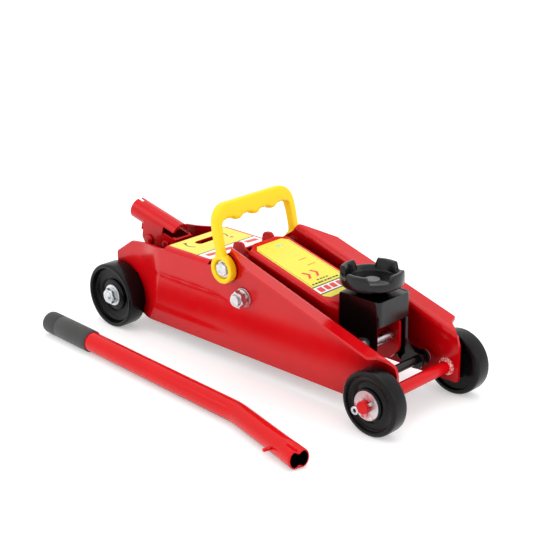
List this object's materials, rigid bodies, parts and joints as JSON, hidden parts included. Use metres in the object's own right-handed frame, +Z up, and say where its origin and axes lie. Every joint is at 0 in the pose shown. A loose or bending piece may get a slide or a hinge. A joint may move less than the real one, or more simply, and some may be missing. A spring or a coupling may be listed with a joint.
{
  "type": "trolley jack",
  "caption": "Low hydraulic trolley jack on four wheels, with a swinging carry handle, a rocking pump socket and a loose bent pump bar lying beside it.",
  "frame": {"origin": "on the floor under the middle of the box that holds the jack and its loose bar", "axes": "+X from the pump socket to the saddle, +Y from the loose bar to the jack, +Z up"},
  "size_m": [0.4729, 0.2616, 0.179],
  "materials": {
    "red_paint": "glossy enamel",
    "black_paint": "semi-gloss enamel",
    "black_iron": "black, satin",
    "wheel_plastic": "moulded, semi-gloss",
    "yellow_plastic": "moulded, satin",
    "grip_rubber": "soft, matte",
    "yellow_label": "printed film, satin",
    "zinc_steel": "zinc plated",
    "bright_steel": "ground"
  },
  "bodies": {
    "chassis": {"side_plate_left": "red_paint", "side_plate_right": "red_paint", "front_axle": "red_paint", "axle_welds": "red_paint", "front_wheel_washers": "zinc_steel", "front_split_pins": "zinc_steel", "rear_wheel_washers": "zinc_steel", "rear_wheel_bolts": "zinc_steel", "rear_wheel_nuts": "zinc_steel", "rear_cover": "red_paint", "cover_label": "yellow_label", "arm_pivot_shaft": "zinc_steel", "arm_pivot_nuts": "zinc_steel", "arm_pivot_spring_washers": "zinc_steel", "arm_pivot_washers": "zinc_steel", "arm_pivot_spacers": "red_paint", "tie_studs": "red_paint", "hydraulic_block": "red_paint", "block_screws": "zinc_steel", "ram_cylinder": "black_paint", "gland_nut": "zinc_steel", "oil_tank": "red_paint", "filler_plug": "zinc_steel", "pump_cap": "zinc_steel", "return_springs": "bright_steel", "plunger_spring": "bright_steel", "handle_bolts": "zinc_steel", "handle_nuts": "zinc_steel", "socket_pivot_screw": "zinc_steel"},
    "front_wheel_left": {"front_wheel_left": "wheel_plastic"},
    "front_wheel_right": {"front_wheel_right": "wheel_plastic"},
    "rear_wheel_left": {"rear_wheel_left": "wheel_plastic"},
    "rear_wheel_right": {"rear_wheel_right": "wheel_plastic"},
    "carry_handle": {"carry_handle": "yellow_plastic"},
    "lift_arm": {"lift_arm": "red_paint", "arm_label": "yellow_label", "crank_pin": "bright_steel"},
    "saddle_bracket": {"saddle_bracket": "black_paint", "bracket_pin": "bright_steel", "bracket_pin_clips": "zinc_steel", "link_pin": "black_paint", "link_pin_clips": "zinc_steel"},
    "saddle": {"saddle": "black_iron", "saddle_ring": "zinc_steel"},
    "tie_links": {"tie_link_left": "black_paint", "tie_link_right": "black_paint"},
    "ram": {"ram": "bright_steel", "ram_head": "bright_steel"},
    "handle_socket": {"handle_socket": "red_paint", "lock_screw": "red_paint"},
    "plunger": {"pump_plunger": "bright_steel", "plunger_pin": "zinc_steel"},
    "release_valve": {"release_valve": "zinc_steel"},
    "pump_bar": {"pump_bar": "red_paint", "bar_grip": "grip_rubber", "bar_pin": "red_paint"}
  },
  "joints": [
    {"name": "front_left_wheel_spin", "type": "hinge", "parent": "chassis", "child": "front_wheel_left", "pos_m": [0.203, -0.01775, 0.0335], "axis": [0, 1, 0], "continuous": true},
    {"name": "front_right_wheel_spin", "type": "hinge", "parent": "chassis", "child": "front_wheel_right", "pos_m": [0.203, 0.11225, 0.0335], "axis": [0, 1, 0], "continuous": true},
    {"name": "rear_left_wheel_spin", "type": "hinge", "parent": "chassis", "child": "rear_wheel_left", "pos_m": [-0.1955, -0.00675, 0.0376], "axis": [0, 1, 0], "continuous": true},
    {"name": "rear_right_wheel_spin", "type": "hinge", "parent": "chassis", "child": "rear_wheel_right", "pos_m": [-0.1955, 0.10125, 0.0376], "axis": [0, 1, 0], "continuous": true},
    {"name": "carry_handle_swing", "type": "hinge", "parent": "chassis", "child": "carry_handle", "pos_m": [-0.0132, 0.04725, 0.1131], "axis": [0, 1, 0], "range_deg": [-68, 20]},
    {"name": "lift", "type": "hinge", "parent": "chassis", "child": "lift_arm", "pos_m": [0.0105, 0.04725, 0.0855], "axis": [0, -1, 0], "range_deg": [0, 65], "deforming": ["return_springs"]},
    {"name": "saddle_level", "type": "hinge", "parent": "lift_arm", "child": "saddle_bracket", "pos_m": [0.1535, 0.04725, 0.064], "axis": [0, -1, 0], "range_deg": [-65, 0]},
    {"name": "saddle_turn", "type": "hinge", "parent": "saddle_bracket", "child": "saddle", "pos_m": [0.1435, 0.04725, 0.126], "axis": [0, 0, 1], "continuous": true},
    {"name": "tie_link_swing", "type": "hinge", "parent": "chassis", "child": "tie_links", "pos_m": [0.0395, 0.04725, 0.0635], "axis": [0, -1, 0], "range_deg": [0, 65]},
    {"name": "ram_stroke", "type": "slide", "parent": "chassis", "child": "ram", "axis": [1, 0, 0], "range_m": [0, 0.0435]},
    {"name": "pump", "type": "hinge", "parent": "chassis", "child": "handle_socket", "pos_m": [-0.1535, 0.04725, 0.0955], "axis": [0, 1, 0], "range_deg": [0, 30]},
    {"name": "plunger_stroke", "type": "slide", "parent": "chassis", "child": "plunger", "axis": [0, 0, 1], "range_m": [0, 0.0165], "deforming": ["plunger_spring"]},
    {"name": "release_valve_turn", "type": "hinge", "parent": "chassis", "child": "release_valve", "pos_m": [-0.1935, 0.06325, 0.05], "axis": [-1, 0, 0], "range_deg": [0, 360]},
    {"name": "pump_bar_lift_off", "type": "slide", "parent": "chassis", "child": "pump_bar", "axis": [0, 0, 1], "range_m": [0, 0.25]}
  ],
  "couplings": [
    {"joint": "saddle_level", "follows": "lift", "ratio": -1},
    {"joint": "tie_link_swing", "follows": "lift", "ratio": 1},
    {"joint": "ram_stroke", "follows": "lift", "m_per_rad": 0.0382},
    {"joint": "plunger_stroke", "follows": "pump", "m_per_rad": 0.031}
  ]
}
